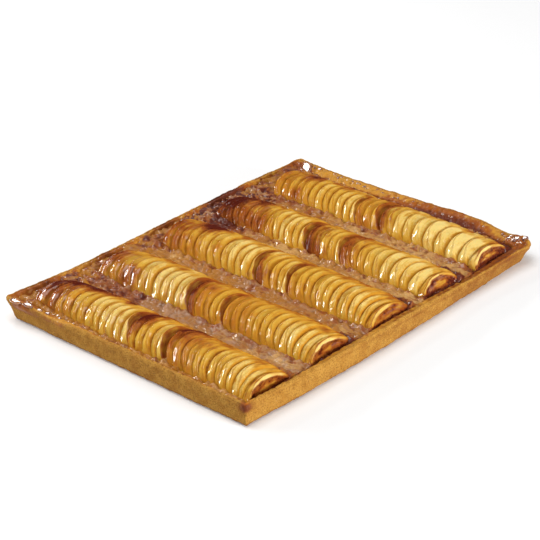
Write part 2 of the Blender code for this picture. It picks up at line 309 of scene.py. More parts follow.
# How dark the ring and the middle of each row's last cheek are
CHEEKS = {1: (0.8, 0.0), 2: (0.8, 0.5), 3: (0.55, -0.3), 4: (0.85, 0.1), 5: (0.8, -0.1)}
WET_CHEEK = 0.8
CHEEK_FOOT = 0.9
CHEEK_RIM = 0.3
CHEEK_BAKE = 0.8
CHEEK_RIM_BAKE = 0.5
CHEEK_GLAZE = (0.8, 1.1, 1.0, 1.8, 2.0)
CHEEK_START = -106.0
CHEEK_FULL = -118.0

# Places on the slices, as x, y and reach, and how burnt and how baked they are
APPLE_SPOTS = (
    (-130, 100, 12, 0.8, 0.5),
    (-136, 82, 12, 1.2, 0.6),
    (-136, 62, 10, 0.7, 0.6),
    (-137, 42, 8, 0.4, 0.7),
    (14, 82, 13, 1.5, 0.9),
    (86, 84, 11, 0.7, 0.7),
    (154, 84, 14, 0.9, 0.9),
    (-150, -62, 10, 0.3, 0.8),
    (-99, 84, 12, 0.6, 1.1),
    (-152, 2, 8, 0.5, 1),
    (-117, -33, 7, -0.6, 1.2),
    (-17, 55, 6, 0, 0.9),
    (-25, 10, 6, 0.1, 0.4),
    (-178, 0, 9, -0.2, -0.7),
    (45, 40, 9, -0.1, -0.5),
    (121, 84, 7, 0.5, 0.8),
    (52, 70, 14, 0.4, 0.6),
    (158, 42, 14, 0.6, 1.1),
    (-82, 122, 15, 0.5, 1.2),
    (-134, 40, 9, 0.6, 0.6),
    (-80, 2, 9, 0.4, 1.2),
    (-62, -102, 11, 0.3, 1.2),
    (10, -2, 10, -0.2, -1),
    (84, -100, 10, -0.2, -0.8),
)

# Creases, with amber glaze and painted shade, edges, film and baking of the slices, painted shade
# towards their feet and on open faces, and the values that carry them to the material
APPLE_VALUES = ("crease", "edge", "bake_and_shade", "burn_and_shade", "film_and_shade", "wet", "inward", "round", "number")
BURN_WIDTH = 1.1
CREASE_SOFTNESS = 0.55
CREASE_LINE = 0.8
CREASE_REACH = 4.2
EDGE_WIDTH = 1.2
FAR_EDGES = 1.1
EDGE_DEPTH = 2.0
FOOT_EDGE = 0.35
FAR_FILM = 0.95
FOOT_FILM = 0.6
# Painted shade follows: darker towards the slices' feet, and on the open faces between fans
SLICE_FOOT_SHADE = 0.9
OPEN_FACE_SHADE_TONE = 0.9
OPEN_FACE_SHADE_DARK = 0.45
OPEN_FACE_SHADE_AMBER = 0.7
TONE_SPREAD = 0.16

# Detail of one slice: steps round its arc, rings of its upper face, rounding of its edges
ARC_STEPS = 64
FACE_RINGS = (0.78, 0.62, 0.48, 0.37, 0.28, 0.2, 0.13, 0.07, 0.0)
BACK_RING = 0.45
FILLET_STEPS = 8
FILLETS_ON_FACE = 3
RIM_STEPS = 3
CREST_ROUNDING = 1.0
FLANK_ROUNDING = 1.7
LARGEST_ROUNDING = 0.7
SHINGLE_STEP = 1.3
SHINGLE_STEPS = {(1, "left"): 1.9, (2, "left"): 2.1}
SHINGLE_WAVE = 0.35
FAR_SHINGLE = 0.3
BACK_ROUNDING = 0.5
SEEDS_PER_FAN = 20
SEED_STEP = 40.0
NUMBER_STEP = 0.013

# Glaze that fills the creases between slices: its depth by place, and how far it spreads
NEAR_FILL = 0.8
CREST_FILL = 1.3
FAR_FILL = 1.8
FAN_GLAZE = {(1, "left"): 1.5, (2, "left"): 1.2, (3, "left"): 1.2, (4, "left"): 2.8}
GLAZE_FADE = 4.0
FILL_SPREAD = 3.0
USUAL_STEP = 7.0
DEEPEST_FILL = 0.5
CHEEK_CLEARANCE = 9.0
OPEN_CLEARANCE = 3.0
FOOT_SINK = 1.8
RIM_WAVE = 0.028

# How slices differ: lean and turn in degrees, shift in millimetres, and open gaps on the flanks
FAN_SEED = 11
LOOSENING_SEED = 100
LEAN_JITTER = 1.6
TURN_JITTER = 1.8
SHIFT_JITTER = 0.9
RISE_JITTER = 0.5
OVERLAP = 1.4
GAP_TURN = 0.28
GAP_WIDTH = 0.07
GAP_SHARES = (0.05, 0.4)

# Hollow left by the core in a slice whose whole face shows, as shares of the slice, and its depth
HOLLOW_WIDTH = 0.84
HOLLOW_HEIGHT = 0.78
HOLLOW_DEPTH = 2.6

# Floor, in metres: how far it lies below the tart and its half width, and its look
FLOOR_DROP = 0.0002
FLOOR_SIDE = 6.0
FLOOR_COLOUR = (0.80, 0.80, 0.80)
FLOOR_ROUGHNESS = 0.8
FLOOR_GLOW = 0.15

# Soft boxes in metres: direction, distance, size and power, above, low on both sides and behind
SOFT_BOXES = (
    ("top_box", (-0.2, 0.08, 0.97), 2.4, (2, 1.6), 43),
    ("right_box", (0.15, -0.96, 0.2), 2.6, (1, 0.6), 70),
    ("left_box", (-0.33, 0.88, 0.33), 2.2, (2, 0.19), 38),
    ("back_box", (0.65, 0.60, 0.465), 2.6, (2, 1.3), 2),
    ("glint_box", (0.38, 0.72, 0.58), 2.4, (0.3, 0.22), 4.6),
)
SURROUND = 0.15

# Colours of the crust, bare and under glaze; the toasted colour also paints shade
CRUST_SAND = (0.47, 0.235, 0.04)
CRUST_GOLD = (0.39, 0.175, 0.026)
CRUST_TOASTED = (0.21, 0.06, 0.010)
CRUST_CHARRED = (0.09, 0.014, 0.006)
CRUST_SPECK = (0.16, 0.07, 0.015)
CRUST_GRAIN = (0.55, 0.31, 0.09)
GLAZED_GOLD = (0.55, 0.25, 0.03)
GLAZED_BROWN = (0.30, 0.075, 0.010)
GLAZED_DARK = (0.13, 0.025, 0.008)

# Colours of the compote; its mauve-grey is partly its own colour and partly a painted sheen
COMPOTE_GREY_AND_SHEEN = (0.35, 0.18, 0.095)
COMPOTE_BROWN = (0.32, 0.135, 0.038)
COMPOTE_AMBER = (0.36, 0.14, 0.018)
COMPOTE_PALE = (0.56, 0.32, 0.11)
COMPOTE_CARAMEL = (0.24, 0.06, 0.014)
COMPOTE_BURNT = (0.10, 0.018, 0.008)

# Colours of the apple and its glaze, the crease colours partly painted shade, and how far light goes
# into it
APPLE_PALE = (0.74, 0.54, 0.17)
APPLE_GOLDEN = (0.60, 0.335, 0.042)
APPLE_BAKED = (0.44, 0.16, 0.018)
CREASE_AMBER_GLAZE_AND_SHADE = (0.54, 0.235, 0.018)
CREASE_BROWN_SHADE = (0.27, 0.07, 0.006)
EDGE_BROWN = (0.33, 0.115, 0.010)
FILM_AMBER = (0.53, 0.25, 0.024)
FILM_BROWN = (0.30, 0.085, 0.010)
BURNT_BROWN = (0.27, 0.06, 0.010)
BURNT_BLACK = (0.085, 0.011, 0.005)
DROP_DARK = (0.14, 0.03, 0.010)
DROP_AMBER = (0.34, 0.12, 0.020)
APPLE_DEPTH = {"Subsurface Weight": 0.15, "Subsurface Radius": (1.0, 0.5, 0.2),
               "Subsurface Scale": 0.003}

# Sockets that every surface sets, and the sockets of a mix of colours
FINISH = ("Base Color", "Roughness", "Specular IOR Level", "Coat Weight", "Coat Roughness", "Coat IOR")
MIX_SHARE, MIX_FIRST, MIX_SECOND, MIX_RESULT = 0, 6, 7, 2

# Unevenness: the size of its features in millimetres, its layer, and how strong it is
UNEVENNESS = {
    "crust_lumps": (7, 1, 0.4),
    "crust_grain": (3, 2, 0.3),
    "crumb": (1.6, 3, 1),
    "toast_and_shade": (30, 4, 0.2),
    "runs": (3.6, 5, 0.7),
    "back_left_crags": (4.4, 6, 1),
    "back_right_crags": (4.5, 6, 1),
    "corner_bumps": (4, 7, 0.7),
    "crag_swell": (9, 8, 0.4),
    "strips": (17, 4, 0.5),
    "bed_swell": (9, 11, 1.1),
    "wrinkles": (6, 12, 1),
    "caramel_and_shade": (12, 13, 0.6),
    "bed_lumps": (2.8, 14, 0.8),
    "knobs": (4.2, 15, 1),
    "end_lumps": (4.5, 16, 1.1),
    "end_caramel": (8, 17, 0.9),
    "amber": (25, 18, 0.2),
    "near_feet": (5, 19, 1.7),
    "curls": (5.5, 20, 1),
    "light": (16, 21, 0.5),
    "slice_face": (9, 21, 0.35),
    "far_feet": (6.5, 22, 0.9),
    "cheek_ring": (7, 23, 0.12),
    "cheek_blotches": (5, 24, 0.5),
    "film_and_shade": (13, 25, 0.6),
}

# Camera: focal length over the picture's side, view angles and place, fitted to the tart's corners
FOCAL_SHARE = 2013.03 / 540.0
SENSOR = 36.0
CAMERA_ANGLES = (0.748878, 0.483897, -0.0254367)
CAMERA_AIM = (-50.0, 0.0, 0.0)
CAMERA_OFFSET = (-28.34, -34.0)
CAMERA_DISTANCE = 1770.3
CAMERA_NEAR = 0.05
CAMERA_FAR = 50.0


def mix(first, second, share):
    """The value that lies the given share of the way from first to second."""
    return first + (second - first) * share


def along(values, share):
    """Smooth course through equally spaced values, read at a share from 0 to 1."""
    place = share * (len(values) - 1)
    index = min(int(place), len(values) - 2)
    step = place - index
    return mix(values[index], values[index + 1], step * step * (3.0 - 2.0 * step))


def smooth(low, high, value):
    """Rises smoothly from 0 at low to 1 at high; numbers or arrays."""
    share = np.clip((value - low) / (high - low), 0.0, 1.0)
    return share * share * (3.0 - 2.0 * share)


def bell(value, width):
    """1 where a value is 0, fading to 0 on both sides of it."""
    return np.exp(-(value / width) ** 2)


def spot_share(points, x, y, reach):
    """1 at a place on the plan, fading to 0 round it."""
    return np.exp(-((points[..., 0] - x) ** 2 + (points[..., 1] - y) ** 2) / reach ** 2)


def sum_of_spots(points, places):
    """What round places on the plan, given as x, y, reach and strength, add up to at points."""
    return sum(strength * spot_share(points, x, y, reach) for x, y, reach, strength in places)


def rag(x, y, layer):
    """Smooth unevenness from -1 to 1 at a place on the plan, as in the solids."""
    return noise.noise(Vector((x / RAG_LENGTH, y / RAG_LENGTH, layer * RAG_LAYER_STEP)))


def field(points, name):
    """One of the named kinds of unevenness at many points: smooth, and about 0."""
    size, layer, strength = UNEVENNESS[name]
    flat = points.reshape(-1, 3) / size
    lift = layer * RAG_LAYER_STEP
    values = [noise.noise((x, y, z + lift)) for x, y, z in flat.tolist()]
    return strength * np.array(values).reshape(points.shape[:-1])


def part_shift():
    """Where the part's own origin lies in the row's frame, in metres."""
    low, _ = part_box("apple_compote")
    planned_x = -LENGTH / 2 + WALL_FOOT["front_left"] + TOUCH_GAP
    planned_y = -WIDTH / 2 + WALL_FOOT["front_right"] + TOUCH_GAP
    return np.array((low.x - planned_x * MM, low.y - planned_y * MM, 0.0))


SHIFT = part_shift()


def new_piece(name, points, faces, material, values, node=None):
    """A mesh from points in millimetres, with one number per point for each named value."""
    mesh = bpy.data.meshes.new(name)
    mesh.from_pydata((points.reshape(-1, 3) * MM + SHIFT).tolist(), [], faces)
    for label, numbers in values.items():
        attribute = mesh.attributes.new(label, "FLOAT", "POINT")
        attribute.data.foreach_set("value", np.asarray(numbers, np.float32).ravel())
    mesh.shade_smooth()
    mesh.materials.append(material)
    piece = bpy.data.objects.new(name, mesh)
    bpy.context.scene.collection.objects.link(piece)
    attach(piece, "root")
    if node:
        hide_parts(node)
    return piece


def grid_quads(rows, columns, start=0, wrap=False):
    """Faces of a grid of points that are numbered row by row."""
    quads = []
    for row in range(rows if wrap else rows - 1):
        here = start + row * columns
        there = start + (row + 1) % rows * columns
        for column in range(columns - 1):
            quads.append((here + column, there + column, there + column + 1, here + column + 1))
    return quads


def ring_normals(points):
    """Unit normals of a grid of points whose rows close on themselves."""
    down = np.roll(points, -1, 0) - np.roll(points, 1, 0)
    normals = np.cross(down, np.gradient(points, axis=1))
    return normals / np.maximum(np.linalg.norm(normals, axis=-1, keepdims=True), 1e-9)


class Value:
    """A number that a material works out, which can be added to, taken from and multiplied."""

    def __init__(self, shader, socket):
        self.shader = shader
        self.socket = socket

    def __add__(self, other):
        return self.shader.math("ADD", self, other)

    def __sub__(self, other):
        return self.shader.math("SUBTRACT", self, other)

    def __rsub__(self, other):
        return self.shader.math("SUBTRACT", other, self)

    def __mul__(self, other):
        return self.shader.math("MULTIPLY", self, other)


class Shader:
    """A Principled material that is built up node by node."""

    def __init__(self, name):
        self.material = bpy.data.materials.new(name)
        self.material.use_nodes = True
        self.tree = self.material.node_tree
        self.surface = self.tree.nodes["Principled BSDF"]
        self.place = self.node("TexCoord", "Object", {})

    def feed(self, socket, value):
        """Links an output to a socket, or sets the socket to a number or colour."""
        if isinstance(value, Value):
            value = value.socket
        if isinstance(value, bpy.types.NodeSocket):
            self.tree.links.new(value, socket)
        elif isinstance(value, tuple):
            socket.default_value = (*value, 1.0)[:len(socket.default_value)]
        else:
            socket.default_value = value

    def node(self, kind, output, sockets, **settings):
        """One output of a new node, with its settings made and its sockets fed."""
        node = self.tree.nodes.new("ShaderNode" + kind)
        for name, setting in settings.items():
            setattr(node, name, setting)
        for name, value in sockets.items():
            self.feed(node.inputs[name], value)
        return node.outputs[output]

    def value(self, label):
        return Value(self, self.node("Attribute", "Fac", {}, attribute_name=label))

    def noise(self, size, detail, stretch=(1.0, 1.0, 1.0), place=None):
        """Unevenness about 0.5, with features of the given size in millimetres."""
        scales = tuple(share / (size * MM) for share in stretch)
        mapped = self.node("Mapping", "Vector", {"Vector": place or self.place, "Scale": scales})
        sockets = {"Vector": mapped, "Scale": 1.0, "Detail": detail}
        return Value(self, self.node("TexNoise", "Fac", sockets))

    def pores(self, size):
        """Distance to the nearest of many scattered points, 0 at each."""
        sockets = {"Vector": self.place, "Scale": 1.0 / (size * MM)}
        return Value(self, self.node("TexVoronoi", "Distance", sockets))

    def math(self, operation, first, second):
        return Value(self, self.node("Math", "Value", {0: first, 1: second}, operation=operation))

    def span(self, value, low, high, to_low=0.0, to_high=1.0):
        """Maps the range from low to high onto another, smoothly and clamped."""
        sockets = {"Value": value, "From Min": low, "From Max": high, "To Min": to_low,
                   "To Max": to_high}
        return Value(self, self.node("MapRange", "Result", sockets, interpolation_type="SMOOTHSTEP"))

    def blend(self, share, first, second):
        """A colour that lies the given share of the way from first to second."""
        sockets = {MIX_SHARE: share, MIX_FIRST: first, MIX_SECOND: second}
        return self.node("Mix", MIX_RESULT, sockets, data_type="RGBA")

    def layers(self, colour, *tints):
        """Lays tints over a colour, each where a value rises through a span."""
        for tint, *spanned in tints:
            colour = self.blend(self.span(*spanned), colour, tint)
        return colour

    def finish(self, colour, roughness, specular, coat, coat_roughness, coat_index):
        """Sets the surface's colour and shine, and the clear coat over it."""
        values = (colour, roughness, specular, coat, coat_roughness, coat_index)
        for name, value in zip(FINISH, values):
            self.feed(self.surface.inputs[name], value)

    def bump(self, height, strength, distance):
        """Relief from a height, with its depth in millimetres."""
        sockets = {"Height": height, "Strength": strength, "Distance": distance * MM}
        self.feed(self.surface.inputs["Normal"], self.node("Bump", "Normal", sockets))


def crust_material():
    """Matt sandy shortcrust: golden, browner in patches and in painted shade, and dark and glossy where
    it is wet.
    """
    shader = Shader("crust_look")
    patches = shader.noise(9.0, 3.0)
    grain = shader.noise(1.1, 4.0)
    uneven = patches - 0.5
    # The toasting value also carries painted shade at the wall's foot and along the front right wall
    browned_and_shaded = shader.value("toast_and_shade") + uneven * 0.5
    mottled = browned_and_shaded + (shader.noise(5.0, 3.0) - 0.5) * 1.6
    damp = shader.value("wet") + uneven * 0.9
    soaked = shader.span(damp, 0.25, 0.75)
    colour = shader.layers(
        CRUST_SAND,
        (CRUST_GOLD, patches, 0.3, 0.7),
        (CRUST_TOASTED, browned_and_shaded, 0.0, 0.95),
        (CRUST_CHARRED, browned_and_shaded, 0.95, 1.5),
        (CRUST_SPECK, grain, 0.36, 0.52, 0.55, 0.0),
        (CRUST_GRAIN, grain, 0.55, 0.7, 0.0, 0.35),
    )
    glazed = shader.layers(
        GLAZED_GOLD,
        (GLAZED_BROWN, mottled, -0.2, 0.4),
        (GLAZED_DARK, mottled, 0.4, 1.2),
    )
    colour = shader.blend(soaked * 0.9, colour, glazed)
    roughness = shader.span(damp, 0.15, 0.6, 0.85, 0.4)
    pools = shader.span(shader.noise(3.0, 2.0), 0.55, 0.64, 0.05, 1.0)
    shader.finish(colour, roughness, specular=0.1, coat=soaked * pools,
                  coat_roughness=0.06, coat_index=1.34)
    sunk = shader.span(shader.pores(2.4), 0.05, 0.35, -0.8, 0.0)
    shader.bump((grain + sunk) * (1.0 - soaked), 0.7, 0.8)
    return shader.material


def compote_material():
    """Moist brown compote with a soft shine, mauve-grey in patches that are partly a painted sheen,
    darker and redder where it has caramelised and in painted shade at the slices' near feet.
    """
    shader = Shader("compote_look")
    lumps = shader.noise(4.4, 2.5, (1.0, 0.5, 1.0))
    uneven = lumps - 0.5
    golden = shader.value("amber") + uneven * 1.2
    pale = shader.value("light") + uneven * 3.0
    dark = shader.value("caramel_and_shade") + uneven * 2.6
    # The mauve-grey base, left between the brown patches, is partly a painted sheen
    colour = shader.layers(
        COMPOTE_GREY_AND_SHEEN,
        (COMPOTE_BROWN, shader.noise(11.0, 3.0), 0.42, 0.58),
        (COMPOTE_AMBER, golden, 0.1, 0.8),
        (COMPOTE_PALE, pale, 0.2, 1.1, 0.0, 0.8),
        (COMPOTE_CARAMEL, dark, 0.3, 0.9, 0.0, 0.9),
        (COMPOTE_BURNT, dark, 0.85, 1.5),
    )
    coat = shader.span(shader.noise(5.0, 2.0), 0.48, 0.6, 0.1, 1.0)
    shader.finish(colour, 0.35, specular=0.1, coat=coat, coat_roughness=0.06, coat_index=1.42)
    shader.bump(lumps, 0.8, 2.0)
    return shader.material


def apple_material():
    """Baked apple under a wet glaze: cream to golden, amber glaze and painted shade in the creases,
    painted shade towards the feet and on open faces, burnt at some edges.
    """
    shader = Shader("apple_look")
    values = [shader.value(label) for label in APPLE_VALUES]
    crease, edge, bake_and_shade, burn_and_shade, film_and_shade, wet = values[:6]
    round_slice = shader.node("CombineXYZ", "Vector", dict(zip("XYZ", values[6:])))
    streaks = shader.noise(1.8, 3.0)
    uneven = shader.noise(11.0, 3.0) - 0.5
    fine = streaks - 0.5
    lined = shader.noise(1.7, 3.0, (1.0, 0.09, 1.0), round_slice) - 0.5
    # The tone, crease, char and film values also carry painted shade
    tone = bake_and_shade + uneven * 0.9 + lined * 0.8 + fine * 0.6
    unlevel = fine * 0.4 + uneven * 0.5 + lined * 0.6
    creased = crease + unlevel
    film_shade_uneven = film_and_shade + (uneven * 1.4 + lined)
    char_and_shade = burn_and_shade + (uneven + lined * 0.8)
    colour = shader.layers(
        APPLE_PALE,
        (APPLE_GOLDEN, tone, -0.35, 0.5),
        (APPLE_BAKED, tone, 0.45, 1.3),
        (CREASE_AMBER_GLAZE_AND_SHADE, creased, 0.1, 0.8),
        (CREASE_BROWN_SHADE, creased, 0.75, 1.2),
        (EDGE_BROWN, edge + unlevel, 0.4, 1.1, 0.0, 0.7),
        (FILM_AMBER, film_shade_uneven, 0.1, 0.7, 0.0, 0.8),
        (FILM_BROWN, film_shade_uneven, 0.6, 1.3),
        (BURNT_BROWN, char_and_shade, 0.1, 0.6, 0.0, 0.9),
        (BURNT_BLACK, char_and_shade + fine, 0.5, 1.1),
    )
    coat = shader.span(shader.noise(4.5, 2.0) + wet * 0.2, 0.54, 0.64, 0.12, 1.0)
    shader.finish(colour, 0.5, specular=0.0, coat=coat, coat_roughness=0.05, coat_index=1.45)
    for name, value in APPLE_DEPTH.items():
        shader.feed(shader.surface.inputs[name], value)
    shader.bump(streaks + lined, 0.15, 0.5)
    return shader.material


def drop_material():
    """Dark clear glaze."""
    shader = Shader("drop_look")
    clots = shader.noise(4.0, 2.0)
    colour = shader.layers(
        DROP_DARK,
        (DROP_AMBER, clots, 0.4, 0.6),
    )
    shader.finish(colour, 0.4, specular=0.5, coat=1.0, coat_roughness=0.04, coat_index=1.55)
    shader.bump(clots, 0.05, 0.4)
    return shader.material


def tray_stations():
    """Places round the tray, anticlockwise: each is a corner's arc or a share of a side."""
    stations = []
    for side in range(len(SIDES)):
        for step in range(CORNER_STEPS + 1):
            stations.append(("corner", side, step / CORNER_STEPS))
        count = round((WIDTH if side % 2 else LENGTH) / STATION_PITCH)
        for step in range(1, count):
            stations.append(("side", side, step / count))
    return stations


def corner_point(corner, insets, radius, turn):
    """A point on one corner's arc of a rounded rectangle, and the direction that it faces."""
    angle = math.radians(180.0 + 90.0 * corner + 90.0 * turn)
    facing = Vector((math.cos(angle), math.sin(angle)))
    low_x = -LENGTH / 2 + insets["front_left"] + radius
    high_x = LENGTH / 2 - insets["back_right"] - radius
    low_y = -WIDTH / 2 + insets["front_right"] + radius
    high_y = WIDTH / 2 - insets["back_left"] - radius
    centre = Vector((high_x if corner in (1, 2) else low_x, high_y if corner in (2, 3) else low_y))
    return centre + facing * radius, facing


def plan_point(station, insets, radii):
    """A station's point on a rounded rectangle, and the direction that it faces."""
    kind, side, share = station
    if kind == "corner":
        return corner_point(side, insets, radii[side], share)
    start, facing = corner_point(side, insets, radii[side], 1.0)
    after = (side + 1) % 4
    end, _ = corner_point(after, insets, radii[after], 0.0)
    return start.lerp(end, share), facing


def rim_height(station):
    """Height of the rim's ridge at a station."""
    kind, side, share = station
    heights = RIM_HEIGHTS[SIDES[side]] + RIM_HEIGHTS[SIDES[(side + 1) % 4]][:1]
    return along(heights, share if kind == "side" else 0.0)


def rim_flare(station):
    """How far a station's rim is pushed out by the nearest corner's flare."""
    kind, side, share = station
    here = Vector(CORNER_FLARES[side])
    if kind == "corner":
        return here
    there = Vector(CORNER_FLARES[(side + 1) % 4])
    return here * (1.0 - share) ** FLARE_FADE + there * share ** FLARE_FADE


def tray_section(station):
    """Corners of the tray's section at a station, from its underside up and over the rim."""
    kind, side, share = station
    middle, facing = plan_point(station, dict.fromkeys(SIDES, 0.0), CORNER_RADII)
    height = rim_height(station) + RIM_RAG * rag(middle.x, middle.y, 1)
    swell = along(SIDE_SWELL[SIDES[side]], share) if kind == "side" else 0.0
    swell += WALL_RAG * rag(middle.x, middle.y, 2)
    flare = rim_flare(station)
    finer = middle * UNDERCUT_RAG_SCALE
    section = []
    for inset, share_up, above in WALL_SECTION:
        level = height * share_up + above
        if not section:
            inset += UNDERCUT_RAG * rag(finer.x, finer.y, 3)
        radii = [max(radius - inset, SMALLEST_RADIUS) for radius in CORNER_RADII]
        point, _ = plan_point(station, dict.fromkeys(SIDES, inset), radii)
        point = point + facing * swell + flare * (level / height) ** FLARE_RISE
        section.append((point.x, point.y, level))
    foot, _ = plan_point(station, WALL_FOOT, (INNER_CORNER_RADIUS,) * 4)
    ledge = min(COMPOTE_LEVEL + LEDGE_ABOVE_COMPOTE, height - LEDGE_BELOW_RIDGE)
    section.append((foot.x, foot.y, ledge))
    section.append((foot.x, foot.y, FLOOR_TOP))
    return section


def on_side(stations, name, start_fade, end_fade=None):
    """1 along one side of the tray and 0 off it, fading over a share of the side at its ends."""
    shares = [share * (kind == "side" and SIDES[side] == name) for kind, side, share in stations]
    share = np.array(shares)[:, None]
    started = smooth(0.0, start_fade, share)
    return started if end_fade is None else started * smooth(1.0, 1.0 - end_fade, share)


def curve_through(corners, steps):
    """Smooth course through the second axis of an array of corners, with steps for each span."""
    before = np.concatenate((corners[:, :1], corners[:, :-1]), 1)
    after = np.concatenate((corners[:, 1:], corners[:, -1:]), 1)
    slopes = (after - before) * CURVE_SLOPE
    spans = []
    for index, count in enumerate(steps):
        start, end = corners[:, index], corners[:, index + 1]
        out, into = slopes[:, index], slopes[:, index + 1]
        for step in range(count):
            t = step / count
            spans.append(start * (2 * t**3 - 3 * t**2 + 1) + out * (t**3 - 2 * t**2 + t)
                         + end * (3 * t**2 - 2 * t**3) + into * (t**3 - t**2))
    spans.append(corners[:, -1])
    return np.stack(spans, 1)


def crust_relief(points, stations, drop, outside):
    """Height of the lumps, crumb and pits of the wall, and of the runs and crags inside it."""
    crumb = field(points, "crumb")
    pits = np.minimum(crumb + PIT_START, 0.0) * PIT_DEPTH
    crag = 0.0
    for name, bulge, rough in CRAGS:
        rugged = rough * (field(points, name + "_crags") + field(points, "crag_swell"))
        crag = crag + on_side(stations, name, CRAG_FADE, CRAG_FADE) * (bulge + rugged)
    relief = field(points, "crust_lumps") + field(points, "crust_grain")
    relief += (crumb * CRUMB_HEIGHT + pits) * outside
    relief += (field(points * RUN_STRETCH, "runs") + crag * smooth(0.3, 2.0, drop)) * (1.0 - outside)
    for x, y, reach, rise in CORNER_BUMPS:
        bump = spot_share(points, x, y, reach) * smooth(9.0, 3.0, drop)
        relief += rise * bump * (1.0 + field(points, "corner_bumps"))
    return relief


def make_crust(material):
    """The tray: sandy relief on the wall, a lip on the front right, and a glazed inner face."""
    stations = tray_stations()
    points = curve_through(np.array([tray_section(station) for station in stations]), SECTION_STEPS)
    rows, columns = points.shape[:2]
    ridge = sum(SECTION_STEPS[:SPANS_TO_RIDGE])
    place = np.arange(columns)[None, :] * np.ones((rows, 1))
    outside = smooth(ridge + 1.0, ridge - 2.0, place)
    inside = 1.0 - outside
    drop = points[:, ridge, 2][:, None] - points[..., 2]
    lip = on_side(stations, "front_right", *LIP_FADES) * bell(drop - LIP_DROP, LIP_WIDTH) * outside
    relief = crust_relief(points, stations, drop, outside) - LIP_CREASE * lip
    relief[(points[..., 2] < FLAT_BELOW) | (place > columns - 3)] = 0.0
    points = points + ring_normals(points) * relief[..., None]
    points[..., 2] = np.maximum(points[..., 2], 0.0)
    height = points[..., 2]
    back_left = on_side(stations, "back_left", BACK_FADE) * inside
    back_right = on_side(stations, "back_right", BACK_FADE, BACK_FADE) * inside
    # The lip's crease is darker
    toast_and_shade = WALL_TOAST * outside + field(points, "toast_and_shade") + LIP_DARKENING * lip
    # Painted shade: darker towards the foot of the outer wall, over the undercut
    toast_and_shade += WALL_FOOT_SHADE * smooth(4.0, 0.5, height) * outside
    toast_and_shade -= BROW_PALENESS * smooth(1.6, 0.2, drop) * outside
    toast_and_shade += BACK_LEFT_TOAST * back_left * smooth(0.6, 2.2, drop)
    toast_and_shade += back_right * (BACK_RIGHT_TOAST * smooth(1.5, 5.5, drop) - BACK_RIGHT_PALENESS)
    wet = INNER_WETNESS * inside * smooth(ridge + 0.5, ridge + 3.0, place)
    wet -= BACK_RIGHT_DRYNESS * back_right * smooth(4.0, 1.0, drop)
    wet += BROW_WETNESS * smooth(1.2, 0.0, drop) * outside
    for x, y, reach, start, burnt, soaked in CRUST_SPOTS:
        spot = spot_share(points, x, y, reach) * smooth(start - 2.0, start + 2.0, height)
        toast_and_shade += burnt * spot
        wet += soaked * spot
    faces = grid_quads(rows, columns, wrap=True)
    faces.append(tuple(row * columns for row in reversed(range(rows))))
    faces.append(tuple(row * columns + columns - 1 for row in range(rows)))
    return new_piece("shortcrust", points, faces, material, {"toast_and_shade": toast_and_shade, "wet": wet},
                     "pastry_case")


def strip_share(x):
    """How far each x is across the strip of compote between two rows, or 0 under the rows."""
    rise = np.zeros_like(x)
    for (centre, half), (next_centre, next_half) in zip(ROWS, ROWS[1:]):
        start = centre + half + STRIP_CLEARANCE
        end = next_centre - next_half - STRIP_CLEARANCE
        share = np.clip((x - start) / (end - start), 0.0, 1.0)
        rise = np.maximum(rise, np.sin(math.pi * share))
    return rise


def fan_gap(fan, after, x, y):
    """Height of the glaze that fills the gap between a fan's last slice and the next fan."""
    centre, half = ROWS[fan.row - 1]
    last_foot = fan.last - (fan.crests[-1] - SLICE_BASE) / math.tan(math.radians(LEAN))
    back = after.first - (after.crests[0] - SLICE_BASE) + SLICE_THICKNESS * math.sqrt(2.0)
    back -= (x - centre) * math.tan(math.radians(FIRST_TURNS.get(after[:2], 0.0)))
    ramp = np.clip((y - back) * FILL_SLOPE, 0.0, FILL_HEIGHT)
    ramp *= smooth(last_foot + FILL_REACH, last_foot + 1.0, y)
    reach = np.clip((x - centre) / half, -1.0, 1.0)
    return ramp * np.sqrt(1.0 - reach * reach)


